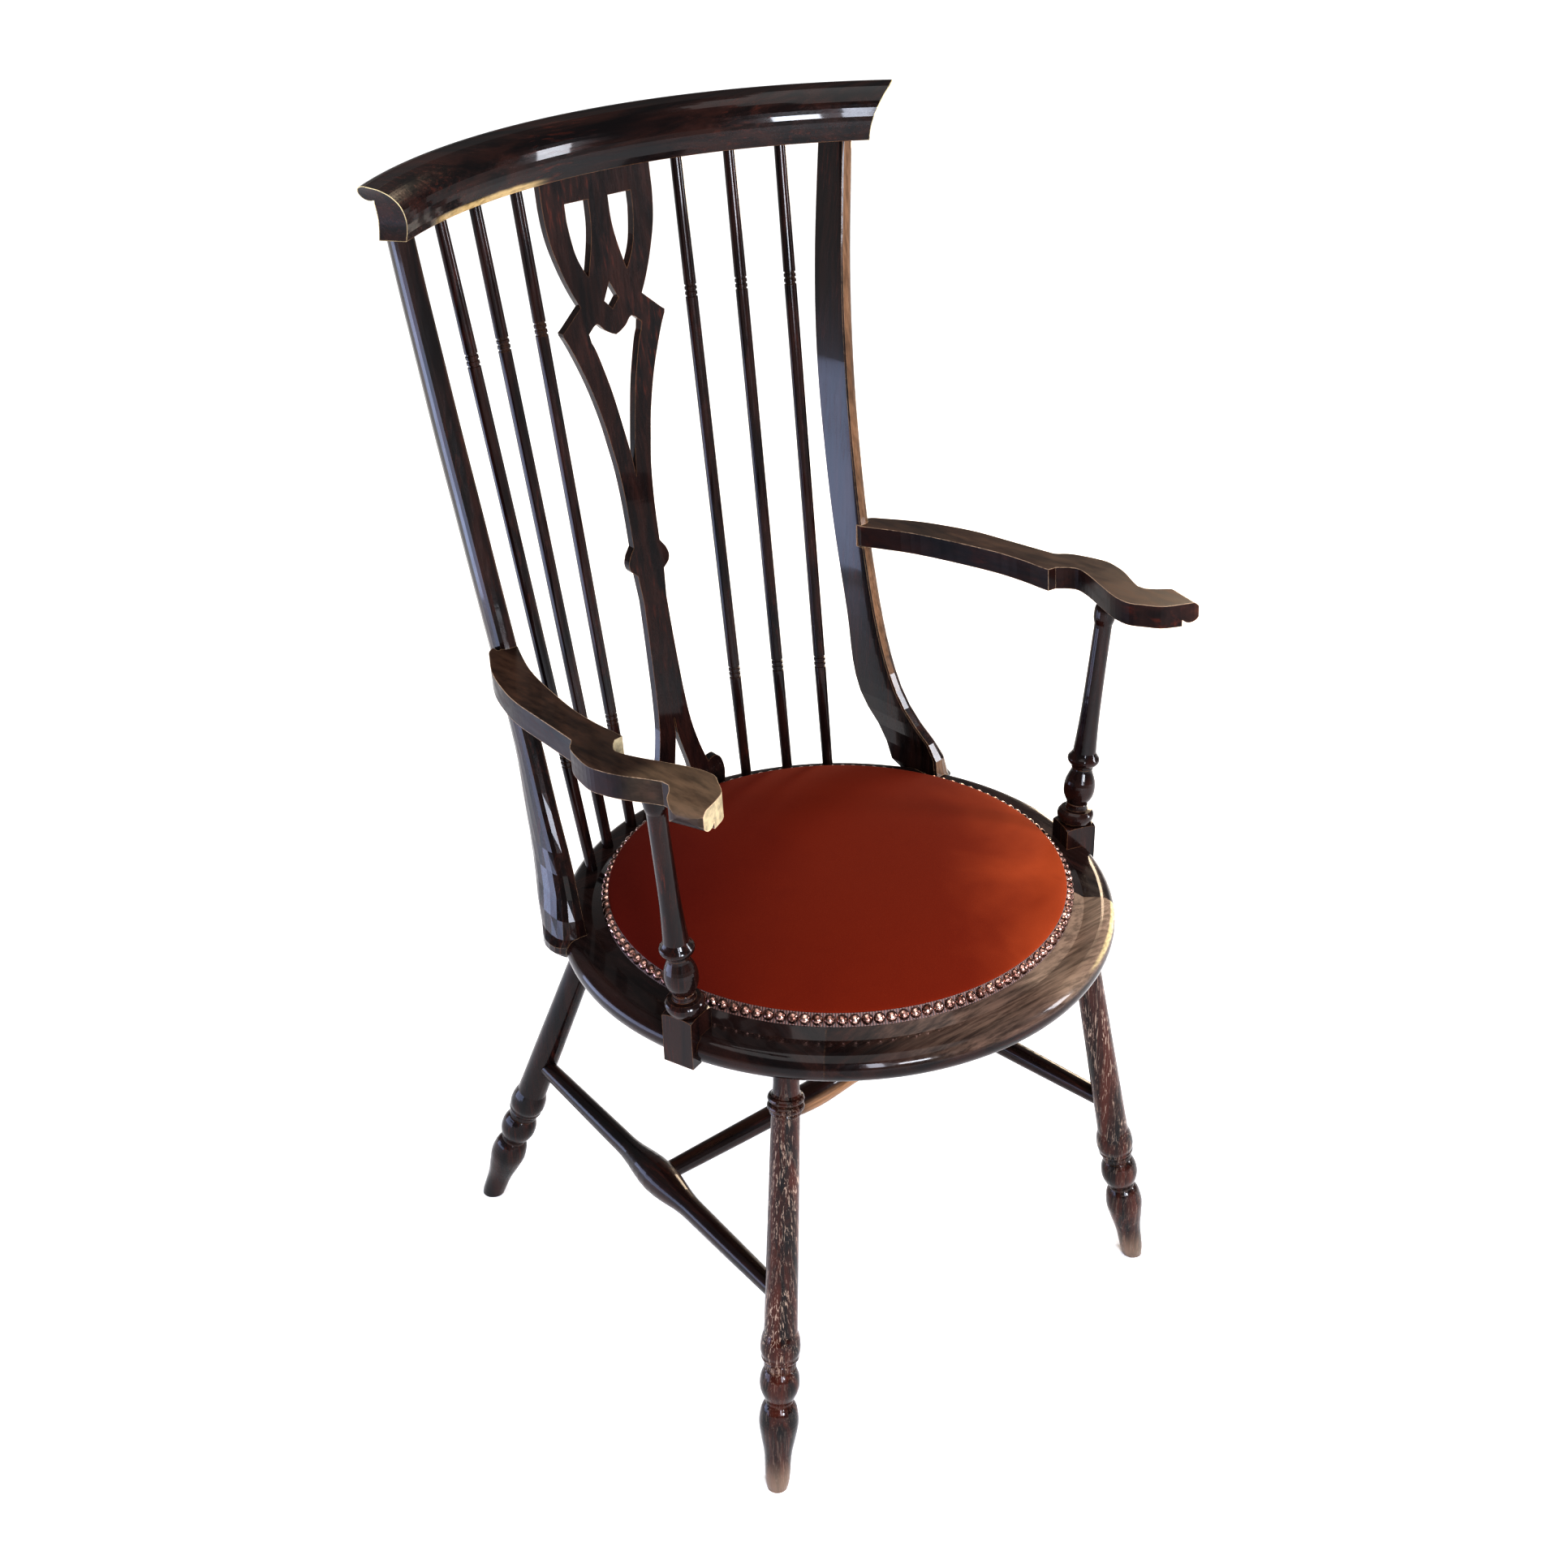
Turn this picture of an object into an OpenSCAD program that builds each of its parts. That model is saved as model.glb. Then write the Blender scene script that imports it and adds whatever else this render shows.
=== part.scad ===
// High-backed armchair with a round stuffed seat, a fretted splat, six turned spindles and an H stretcher.
// Millimetres. Z is up, the chair faces -Y, and the floor is at z = 0 under the middle of its footprint.

/* [Seat rim] */
// Height of the rim's top face above the floor
seat_h = 425; // [390:1:460]
// Outer diameter of the rim
rim_d = 482; // [460:1:510]
// Thickness of the rim
rim_t = 25; // [21:1:30]
// Width of the rim's wood from inner to outer edge
rim_w = 76; // [66:1:90]
// Turn of the rim's four joints from the chair's side, in degrees
rim_joint_turn = 47; // [45:0.5:48]
// Rise of the rim's top inside its inner slope
lip_h = 6; // [3:0.5:8]
// Width of the rim's inner slope
lip_w = 10; // [6:1:12]

/* [Upholstery] */
// Distance from the rim's outer edge in to the nails
nail_in = 40; // [38:1:50]
// Diameter of one dome nail
nail_d = 9.5; // [7:0.5:9.5]
// Number of dome nails
nail_count = 128; // [60:1:130]
// Lean of the nails outward from upright, in degrees
nail_lean = 60; // [40:1:70]
// Width of the slanted band that the nails go through
band_w = 11; // [10:0.5:13]
// Width of the trim where it stands on the rim
trim_w = 13; // [12:0.5:16]
// Height of the cushion's crown above the trim
crown_h = 25; // [15:1:45]
// Width of one webbing strip
web_w = 50; // [35:1:55]
// Thickness of one webbing strip
web_t = 1.5; // [1:0.5:2.5]

/* [Legs] */
// Distance of a front foot from the chair's centre line
front_foot_x = 223; // [200:1:240]
// Distance of a front foot in front of the seat's centre
front_foot_y = 176; // [150:1:195]
// Distance of a back foot from the chair's centre line
back_foot_x = 203; // [185:1:220]
// Distance of a back foot behind the seat's centre
back_foot_y = 308; // [280:1:312]
// Distance from the rim's outer edge in to the top of each leg
leg_in = 29; // [26:1:34]
// Angle of the front legs' tops forward of the chair's side, in degrees
front_leg_turn = 38.5; // [36:0.5:40]
// Angle of the back legs' tops back of the chair's side, in degrees
back_leg_turn = 57.5; // [56:0.5:60]
// Largest diameter of a leg's turnings
leg_d = 34; // [30:0.5:40]
// How much shorter the back legs are cut below their turnings
back_foot_cut = 6; // [0:1:8]
// Diameter of a leg's tenon
leg_tenon_d = 16; // [12:0.5:18]
// Length of a leg's tenon in the rim
leg_tenon = 16; // [10:1:18]

/* [Stretchers] */
// Height of the side stretchers on the front legs
stretch_front_h = 186; // [175:1:220]
// Height of the side stretchers on the back legs
stretch_back_h = 176; // [165:1:200]
// Distance of the middle stretcher behind the seat's centre
middle_y = 38; // [0:1:60]
// Diameter of a stretcher's end
stretch_end_d = 16; // [13:0.5:18]
// Diameter of a stretcher beside its swell
shoulder_d = 20; // [18:0.5:22]
// Diameter of a side stretcher's swell
stretch_swell_d = 32; // [24:0.5:34]
// Diameter of the middle stretcher's swell
middle_swell_d = 27; // [22:0.5:30]
// Half the length of a stretcher's swell
swell_half = 58; // [40:1:70]
// Diameter of a stretcher's tenon
stretch_tenon_d = 9; // [7:0.5:11]

/* [Back] */
// Height of the crest rail's lower edge above the floor
crest_z = 997; // [960:1:1020]
// Radius of the crest rail's front edge, seen from above
crest_r = 388; // [370:1:410]
// Distance of the crest rail's front edge behind the seat's centre, on the centre line
crest_y = 294; // [288:1:300]
// Thickness of the crest rail at its lower edge
crest_t = 22; // [20:0.5:26]
// Height of the crest rail
crest_h = 46; // [42:1:52]
// Radius of the rolled bead along the crest rail's top
bead_r = 7; // [5:0.5:8]
// Half the crest rail's sweep at its lower edge, in degrees
crest_half = 36.5; // [35:0.5:38]
// Radius of the hollow sawn under each end of the crest rail
flare_r = 59; // [55:1:80]
// Diameter of a spindle
spindle_d = 11; // [9:0.5:12]
// Diameter of a spindle's tenons
spindle_tenon_d = 7; // [5:0.5:8]
// Length of a spindle's tenons
spindle_tenon = 14; // [8:1:18]
// Distance from the rim's outer edge in to the spindles
spindle_in = 18; // [17:1:20]
// Width of the splat at the crest rail
splat_w = 112; // [100:1:118]
// Thickness of the splat
splat_t = 8; // [6:0.5:9]
// How far the splat's middle bows back
splat_bow = 5; // [2:0.5:7]
// Depth of a post from front to back at the crest rail
post_depth = 32; // [28:1:36]
// Thickness of a post
post_t = 16; // [14:0.5:18]

/* [Arms] */
// Height of an arm's top face where it meets the post
arm_z = 659; // [640:1:680]
// Rise of an arm toward the front, in degrees
arm_rise = 3.5; // [2:0.1:5]
// Thickness of an arm
arm_t = 20; // [17:1:24]
// Angle of the arm blocks forward of the chair's side, in degrees
block_turn = 18.5; // [14:0.5:20]
// Side of the square block under each arm support
block_side = 28; // [25:1:30]
// Height of the block above the rim
block_up = 20; // [14:1:22]
// Depth of the block below the rim
block_down = 0.5; // [0.5:0.5:6]
// Largest diameter of an arm support's turnings
support_d = 28; // [25:0.5:30]

/* [Hidden] */
$fn = 64;

fit = 0.2;                                // clearance round a tenon or in a housing
soft_gap = 0.3;                           // clearance round the cushion
big = 1200;                               // reach of a cutting solid
rim_r = rim_d / 2;
rim_in_r = rim_r - rim_w;
rim_under = seat_h - rim_t;
deck = seat_h + lip_h;                    // height of the rim's top inside its slope
leg_top_r = rim_r - leg_in;
spindle_circle_r = rim_r - spindle_in;
nail_r = rim_r - nail_in;
nail_rise = 0.4 * nail_d;                 // height of a nail's dome
shank_d = 1.6;
shank = 8;
band_up = [-cos(nail_lean), sin(nail_lean)] * band_w / 2;
band_mid = [nail_r, deck + band_up[1]];   // radius and height of the nails' bases
band_foot = band_mid - band_up;
band_head = band_mid + band_up;
trim_r = band_foot[0] - trim_w;           // inner radius of the trim
seat_top = band_head[1] + 0.5;
crest_axis_y = crest_y - crest_r;         // centre of the crest rail's curve
crest_back = crest_t + bead_r - 1;        // how far the bead stands behind the front edge
splat_back = 10;                          // splat's front face behind the crest rail's front edge
spindle_back = 14;                        // spindles' heads behind the crest rail's front edge
screw_d = 5;
screw_head_d = 8;
screw_head_h = 3;
screw_sink = 2;                           // depth of a screw's head inside the rim's underside
screw_bite = 18;                          // length of a screw above the rim
foot_reach = 12 * leg_d / 34;               // how far a foot stands out from its own middle
mid_y = (max(crest_y + crest_back, back_foot_y + foot_reach) - rim_r) / 2;
wood = [0.13, 0.07, 0.06];
velvet = [0.48, 0.15, 0.05];
braid = [0.25, 0.10, 0.05];
copper = [0.45, 0.27, 0.18];
jute = [0.55, 0.45, 0.30];
steel = [0.45, 0.45, 0.45];

// Points along a round stretch of an outline
function arc(cx, cy, r, a0, a1, n = 10) =
    [for (i = [0 : n]) let (a = a0 + (a1 - a0) * i / n) [cx + r * cos(a), cy + r * sin(a)]];

// A smooth curve that passes through the points p, with n steps between two of them
function blend(a, b, c, d, t) =
    0.5 * (2 * b + (c - a) * t + (2 * a - 5 * b + 4 * c - d) * t * t + (3 * b - a - 3 * c + d) * t * t * t);
function smooth(p, n = 4) = let (k = len(p) - 1)
    concat([for (i = [0 : k - 1], j = [0 : n - 1])
        blend(p[max(i - 1, 0)], p[i], p[i + 1], p[min(i + 2, k)], j / n)], [p[k]]);
function flipped(p) = [for (i = [len(p) - 1 : -1 : 0]) [-p[i][0], p[i][1]]];
function scaled(p, k) = [for (q = p) [q[0] * k, q[1]]];
function raised(p, h) = [for (q = p) [q[0], q[1] + h]];
function polar(r, turn) = [r * cos(turn), r * sin(turn)];

// Sets a piece in the part's frame, with its origin under the middle of the footprint
module placed(colour) {
    color(colour) translate([0, -mid_y, 0]) children();
}

module sided(side) {
    scale([side, 1, 1]) children();
}

// Puts a shape that stands on z = 0 onto the line from point a toward point b, turned an eighth about it
module along(a, b) {
    d = b - a;
    translate(a) rotate([0, acos(d[2] / norm(d)), atan2(d[1], d[0])]) rotate([0, 0, 45]) children();
}

module slab(z0, z1) {
    translate([-big / 2, -big / 2, z0]) cube([big, big, z1 - z0]);
}

// Legs, on the chair's right side
function leg_foot(back) = back ? [back_foot_x, back_foot_y, 0] : [front_foot_x, -front_foot_y, 0];
function leg_turn(back) = back ? back_leg_turn : -front_leg_turn;
function leg_head(back) = let (p = polar(leg_top_r, leg_turn(back))) [p[0], p[1], rim_under];
function leg_length(back) = norm(leg_head(back) - leg_foot(back));
function leg_point(back, h) = leg_foot(back) + (leg_head(back) - leg_foot(back)) * h / rim_under;
shaft_low = [14.2, 157];                  // radius and height of the shaft's lower end
neck_drop = 50;                           // the shaft's upper end below the rim
shaft_top_r = 11.7;
leg_scale = leg_d / 34;                   // the turnings below are drawn for a 34 mm leg
function shaft_r(back, h) = leg_scale * (shaft_low[0]
    + (shaft_top_r - shaft_low[0]) * (h - shaft_low[1]) / (rim_under - neck_drop - shaft_low[1]));

function leg_turning(len, cut) = concat(
    [[0, -20], [9, -20]],
    raised(smooth([[9, 0], [10.6, 9], [11.8, 33], [15, 52], [17, 67], [15.4, 80], [12.6, 86]]), -cut),
    raised([[11.9, 87], [11.9, 89]], -cut),
    raised(smooth([[13.3, 92], [16, 99], [17, 106], [16, 114], [13.6, 120]]), -cut),
    raised([[12.9, 121], [13.8, 123], [13.8, 127], [13.2, 128.5]], -cut),
    raised(smooth([[15, 129.5], [16, 131.5], [15.8, 134], [16.8, 138], [17, 143], [16.2, 150],
        shaft_low]), -cut),
    raised(smooth([[shaft_top_r, -neck_drop], [11.6, -46]], 2), len),
    raised(smooth([[12.6, -45], [13, -43.5], [12.4, -42]], 2), len),
    raised(arc(11.8, -38, 3.5, -80, 80, 6), len),
    raised(arc(11.8, -31, 3.2, -80, 80, 6), len),
    raised(smooth([[11, -26], [10.6, -18], [11, -8], [12, 0]]), len),
    [[12, len + 20], [0, len + 20]]);

module leg_body(back) {
    len = leg_length(back);
    intersection() {
        along(leg_foot(back), leg_head(back))
            rotate_extrude() polygon(scaled(leg_turning(len, back ? back_foot_cut : 0), leg_scale));
        slab(0, rim_under);
    }
    along(leg_foot(back), leg_head(back))
        translate([0, 0, len - 4]) cylinder(d = leg_tenon_d, h = 4 + leg_tenon);
}

// The tenon bores that a leg needs for the side stretcher
module leg(back) {
    here = back ? stretch_end(true) : stretch_end(false);
    there = back ? stretch_end(false) : stretch_end(true);
    difference() {
        leg_body(back);
        along(here, there) translate([0, 0, -fit]) cylinder(d = stretch_tenon_d + 2 * fit, h = leg_d);
    }
}

// Stretchers
function stretch_end(back) = leg_point(back, back ? stretch_back_h : stretch_front_h);
function side_point(y) = let (a = stretch_end(false), b = stretch_end(true))
    a + (b - a) * (y - a[1]) / (b[1] - a[1]);
// Radius of a stretcher at a distance s from its end: a slow taper with the swell's bump standing on it
function bar_r(s, len, peak, swell_d) = (stretch_end_d + (shoulder_d - stretch_end_d) * sin(180 * s / len)
    + (swell_d - shoulder_d) * (1 + cos(180 * min(1, abs(s - peak) / swell_half))) / 2) / 2;
side_peak = norm(side_point(middle_y) - stretch_end(false));
side_peak_r = bar_r(side_peak, norm(stretch_end(true) - stretch_end(false)), side_peak, stretch_swell_d);

module turned_bar(a, b, peak, swell_d) {
    steps = 40;
    len = norm(b - a);
    along(a, b) rotate_extrude() polygon(concat([[0, 0]],
        [for (i = [0 : steps]) [bar_r(len * i / steps, len, peak, swell_d), len * i / steps]], [[0, len]]));
}

module side_stretcher() {
    a = stretch_end(false);
    b = stretch_end(true);
    m = side_point(middle_y);
    difference() {
        turned_bar(a, b, side_peak, stretch_swell_d);
        along(leg_foot(false), leg_head(false))
            cylinder(r = shaft_r(false, stretch_front_h) + fit, h = rim_under);
        along(leg_foot(true), leg_head(true))
            cylinder(r = shaft_r(true, stretch_back_h) + fit, h = rim_under);
        along(m, [0, m[1], m[2]]) translate([0, 0, -fit])
            cylinder(d = stretch_tenon_d + 2 * fit, h = stretch_swell_d);
    }
    along(a, b) cylinder(d = stretch_tenon_d, h = leg_d);
    along(b, a) cylinder(d = stretch_tenon_d, h = leg_d);
}

module middle_stretcher() {
    m = side_point(middle_y);
    difference() {
        turned_bar([-m[0], m[1], m[2]], m, m[0], middle_swell_d);
        for (side = [-1, 1])
            sided(side) along(stretch_end(true), stretch_end(false))
                cylinder(r = side_peak_r + fit, h = big);
    }
    for (side = [-1, 1])
        sided(side) along(m, [0, m[1], m[2]]) cylinder(d = stretch_tenon_d, h = stretch_swell_d);
}

// Arm blocks and supports
block_proud = 4;                          // the block's outer face stands this far outside the rim
block_r = rim_r + block_proud - block_side / 2;
notch_r = rim_r - 8;                      // the rim is cut flat here behind the block's lower part
block_screw_r = (block_r - block_side / 2 + notch_r) / 2;

module at_block() {
    rotate([0, 0, -block_turn]) children();
}

module rim_profile() {
    translate([rim_in_r, rim_under]) square([rim_w - rim_t / 2, rim_t]);
    translate([rim_r - rim_t / 2, rim_under + rim_t / 2]) circle(d = rim_t);
    translate([rim_in_r, rim_under + 1]) square([band_foot[0] - rim_in_r, deck - rim_under - 1]);
    polygon([[band_foot[0] - 1, seat_h - 1], [band_foot[0] + lip_w, seat_h - 1],
        [band_foot[0] + lip_w, seat_h], [band_foot[0], deck], [band_foot[0] - 1, deck]]);
}

function arm_corner() = post_edge((arm_z - seat_h) / rise);
function support_head() = let (c = arm_corner())
    [c[0] + 52, c[1] - 260, arm_z - arm_t + tan(arm_rise) * 260];
function support_foot() = let (p = polar(block_r, -block_turn)) [p[0], p[1], seat_h + block_up];
support_scale = support_d / 28;
support_tenon_d = 10;
support_tenon = 12;
function support_turning(len) = concat(
    [[0, -6], [10, -6], [10, 1]],
    smooth([[14.8, 2], [16.2, 6], [16, 10], [13.6, 13]], 3),
    [[10, 13.6], [9.4, 16], [9.4, 18.5], [9, 19]],
    smooth([[10, 21], [13, 27], [14, 34], [13, 42], [9.6, 51], [9, 54]], 3),
    [[9.8, 54.6], [9.8, 57]],
    smooth([[12, 58], [14, 61], [14, 64], [12, 67], [10.4, 70]], 3),
    smooth([[10.2, 73], [9, 95], [8.4, 117], [8, 150], [7.8, len - 22]], 3),
    smooth([[8, len - 19], [9.3, len - 14], [9.5, len - 8], [9, len - 4], [7.6, len - 1]], 3),
    [[7.6, len + 12], [0, len + 12]]);

module arm_support() {
    foot = support_foot();
    head = support_head();
    len = norm(head - foot);
    difference() {
        intersection() {
            at_block() translate([block_r - block_side / 2, -block_side / 2, rim_under - block_down])
                cube([block_side, block_side, rim_t + block_down + block_up]);
            translate([foot[0], foot[1], rim_under - block_down])
                rotate_extrude() polygon(concat([[0, 0], [block_side, 0]],
                    arc(block_side * 0.5, rim_t + block_down + block_up - 9, 9, 30, 90, 8),
                    [[0, rim_t + block_down + block_up]]));
        }
        at_block() translate([0, -block_side, 0]) cube([notch_r + fit, 2 * block_side, seat_h]);
        at_block() translate([block_screw_r, 0, seat_h - 1])
            cylinder(d = screw_d + 2 * fit, h = screw_bite + 1 + fit);
    }
    intersection() {
        along(foot, head) rotate_extrude() polygon(scaled(support_turning(len), support_scale));
        difference() {
            slab(seat_h + block_up - 1, big);
            arm_plane() translate([-big / 2, -big / 2, -arm_t]) cube([big, big, big]);
        }
    }
    along(foot, head) translate([0, 0, len - 6]) cylinder(d = support_tenon_d, h = 6 + support_tenon);
}

// Arms: drawn flat from the corner where an arm's inner edge meets its post
module arm_plane() {
    c = arm_corner();
    translate([c[0], c[1], arm_z]) rotate([-arm_rise, 0, 0]) children();
}

arm_tail = 5;                             // how far an arm runs into its post
arm_lap = 13;                             // how far it runs back along the post's outer side
function arm_outline() = concat(
    [[0, arm_tail], [post_t, arm_tail]],
    smooth([[post_t, arm_lap], [post_t + 7, arm_lap - 5], [30, -4], [38, -18], [46, -35], [52.5, -54],
        [59, -78], [62.5, -99], [64.5, -125], [68, -170], [69, -181]]),
    smooth([[71, -184], [79, -195], [85.5, -224], [83, -241], [77, -257], [67, -275], [61.5, -286]]),
    smooth([[61.5, -294], [67, -302], [74, -309], [78.5, -318], [77, -328], [72, -342]], 3),
    smooth([[70, -346], [63, -343], [51, -337], [41, -330], [34, -317], [29, -306], [30, -293], [34, -280],
        [43, -259], [52, -238], [56.5, -222], [53, -213], [46, -205]], 3),
    [[38, -204]],
    smooth([[38, -193], [39, -173], [38, -146], [34.5, -120], [27, -80], [19, -48], [8.5, -20], [0, 0]], 3));

// The rolled ear at an arm's tip: its outer side is rounded over, with a nick under its inner edge
ear_at = [79.5, -318];
ear_turn = -17;
ear_length = 45;
ear_w = 15.5;
ear_r = 0.43 * arm_t;

module ear_cut() {
    translate([ear_at[0], ear_at[1], 0]) rotate([0, 0, ear_turn]) difference() {
        union() {
            translate([-ear_w, -ear_length, -2 * arm_t]) cube([3 * ear_w, 2 * ear_length, 2 * arm_t - ear_r]);
            translate([-ear_r, -ear_length, -ear_r - 1]) cube([3 * ear_w, 2 * ear_length, arm_t]);
        }
        translate([-ear_r, 0, -ear_r]) rotate([90, 0, 0])
            cylinder(r = ear_r + 0.4, h = 3 * ear_length, center = true);
    }
}

module arm() {
    difference() {
        arm_plane() difference() {
            translate([0, 0, -arm_t]) linear_extrude(arm_t) polygon(arm_outline());
            ear_cut();
        }
        along(support_foot(), support_head())
            cylinder(d = support_tenon_d + 2 * fit,
                h = norm(support_head() - support_foot()) + support_tenon + fit);
    }
}

// Back posts: f runs from 0 at the rim's top to 1 under the crest rail
rise = crest_z - seat_h;
post_foot = polar(rim_r - 21, 24);
post_head_turn = crest_half - 3.3;
post_head = [(crest_r + 4) * sin(post_head_turn), crest_axis_y + (crest_r + 4) * cos(post_head_turn)];
post_bow = smooth([[0, 0, 0], [0.045, 0, 0], [0.1, -10, 17], [0.16, -15, 28], [0.24, -18, 33],
    [0.33, -18.5, 34.5], [0.42, -18, 34.5], [0.52, -16.5, 32.5], [0.62, -14.5, 29], [0.72, -11.5, 24],
    [0.82, -8, 17], [0.91, -4, 9], [1, 0, 0]], 3);
post_extra = smooth([[0, 28], [0.045, 36], [0.1, 29], [0.16, 19], [0.24, 8], [0.33, 6], [0.5, 6], [0.68, 6],
    [0.85, 3], [1, 0]], 3);
post_twist = -4;                          // turn of a post's inner face from straight ahead
function post_edge(f) = [
    post_foot[0] + (post_head[0] - post_foot[0]) * f + lookup(f, [for (q = post_bow) [q[0], q[1]]]),
    post_foot[1] + (post_head[1] - post_foot[1]) * f + lookup(f, [for (q = post_bow) [q[0], q[2]]])];
function post_depth_at(f) = post_depth + lookup(f, post_extra);

// One section of a post as parts of its depth and thickness, from its inner front corner round the outside
post_section = [[0.03, 0], [0, 0.08], [0, 0.45], [0.03, 0.68], [0.09, 0.86], [0.18, 0.96], [0.32, 1],
    [0.5, 0.98], [0.66, 0.9], [0.8, 0.74], [0.91, 0.5], [0.97, 0.25], [1, 0.08], [0.97, 0]];
function post_ring(z, x, y, depth, thick) = [for (q = post_section)
    [x + q[0] * depth * sin(post_twist) + q[1] * thick * cos(post_twist),
     y + q[0] * depth * cos(post_twist) - q[1] * thick * sin(post_twist), z]];

// Stations of the lapped cheek under the seat: depth below the rim's top, inset, part of the full thickness
cheek = [[22, 1, 0.45], [19, -2, 0.9], [13, -3.5, 1.25], [6, -3, 1.3]];
function post_rings() = concat(
    [for (c = cheek) let (e = post_edge(0))
        post_ring(seat_h - c[0], e[0] - 0.4 * c[1], e[1] - 1 + 0.2 * c[0],
            post_depth * 1.5, post_t * c[2] + 8)],
    [for (i = [0 : 36]) let (f = i / 36, e = post_edge(f), low = max(0, 1 - f / 0.06))
        post_ring(seat_h + rise * f, e[0], e[1], post_depth_at(f), post_t * (1 + 0.6 * low))]);

module loft(rings) {
    n = len(rings[0]);
    k = len(rings);
    polyhedron(
        points = [for (r = rings, p = r) p],
        faces = concat([[for (i = [0 : n - 1]) i]],
            [for (j = [0 : k - 2], i = [0 : n - 1]) let (m = (i + 1) % n)
                [j * n + i, (j + 1) * n + m, j * n + m]],
            [for (j = [0 : k - 2], i = [0 : n - 1]) let (m = (i + 1) % n)
                [j * n + i, (j + 1) * n + i, (j + 1) * n + m]],
            [[for (i = [n - 1 : -1 : 0]) (k - 1) * n + i]]));
}

post_tenon_d = 8;
post_tenon = 14;
post_tenon_at = let (e = post_edge(1)) [e[0] + post_t * 0.47, e[1] + post_depth * 0.2];
post_screw_at = let (e = post_edge(0)) [e[0] + 7, e[1] + 12];

module post() {
    difference() {
        loft(post_rings());
        rotate_extrude($fn = 128) grown_rim_profile();
        arm_plane() translate([0, 0, -arm_t - fit]) linear_extrude(arm_t + 2 * fit)
            translate([-2, -6]) square([post_t + 4, 6 + arm_tail + fit]);
        translate([post_screw_at[0], post_screw_at[1], seat_h - 1])
            cylinder(d = screw_d + 2 * fit, h = screw_bite + 1 + fit);
    }
    translate([post_tenon_at[0], post_tenon_at[1], crest_z - 4])
        cylinder(d = post_tenon_d, h = 4 + post_tenon);
}

// The rim's section, grown by the clearance that a lapped post keeps round its edge
module grown_rim_profile() {
    translate([0, rim_under - rim_t]) square([rim_r - rim_t / 2, 2 * rim_t]);
    translate([rim_r - rim_t / 2, rim_under + rim_t / 2]) circle(d = rim_t + fit);
}

// Crest rail
module crest_profile() {
    polygon(concat([[0, 0]],
        smooth([[-1.6, 6], [-3, 17], [-1.5, 28], [2, 35], [6, crest_h - 6.5], [11, crest_h - 3]], 3),
        arc(crest_back - bead_r, crest_h - bead_r, bead_r, 120, -115, 12),
        [[crest_t - 3, crest_h - 16], [crest_t - 2, crest_h - 30], [crest_t, 0]]));
}

crest_reach = crest_half + 3;             // half sweep at the tips of the crest rail's top
module crest() {
    difference() {
        translate([0, crest_axis_y, crest_z]) rotate([0, 0, 90 - crest_reach])
            rotate_extrude(angle = 2 * crest_reach, $fn = 160) translate([crest_r, 0]) crest_profile();
        for (side = [-1, 1])
            sided(side) translate([0, crest_axis_y, crest_z]) rotate([0, 0, -crest_half])
                translate([flare_r, crest_r - 20, 0]) rotate([-90, 0, 0]) cylinder(r = flare_r, h = 80);
        for (side = [-1, 1])
            sided(side) translate([post_tenon_at[0], post_tenon_at[1], crest_z - 1])
                cylinder(d = post_tenon_d + 2 * fit, h = 1 + post_tenon + fit);
        for (side = [-1, 1], i = [0 : 2])
            sided(side) along(spindle_foot(i), spindle_head(i))
                cylinder(d = spindle_tenon_d + 2 * fit,
                    h = norm(spindle_head(i) - spindle_foot(i)) + spindle_tenon + fit);
        translate([-splat_tongue / 2 - fit, crest_y + splat_back - fit, crest_z - 1])
            cube([splat_tongue + 2 * fit, splat_t + 2 * fit, 1 + splat_tongue_h + fit]);
    }
}

// Spindles, from the inner one outward
spindle_foot_turn = [17.8, 28.3, 38.4];
spindle_head_turn = [11.7, 18.7, 25.3];
function spindle_foot(i) = [spindle_circle_r * sin(spindle_foot_turn[i]),
    spindle_circle_r * cos(spindle_foot_turn[i]), seat_h];
function spindle_head(i) = [(crest_r + spindle_back) * sin(spindle_head_turn[i]),
    crest_axis_y + (crest_r + spindle_back) * cos(spindle_head_turn[i]), crest_z];
ring_step = 4.5;
ring_low = 108;                           // lower group of rings above the rim
ring_high = 116;                          // upper group of rings below the crest rail

function grooves(r, h) = [for (k = [-1 : 1], q = [[0, -1.1], [-0.9, -0.6], [-0.9, 0.6], [0, 1.1]])
    [r + q[0], h + k * ring_step + q[1]]];

module spindle(i) {
    a = spindle_foot(i);
    b = spindle_head(i);
    len = norm(b - a);
    r = spindle_d / 2;
    intersection() {
        along(a, b) rotate_extrude() polygon(concat([[0, -8], [r - 0.6, -8]], grooves(r, ring_low),
            grooves(r, len - ring_high), [[r - 0.5, len + 8], [0, len + 8]]));
        slab(seat_h, crest_z);
    }
    along(a, b) translate([0, 0, -spindle_tenon])
        cylinder(d = spindle_tenon_d, h = len + 2 * spindle_tenon);
}

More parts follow.
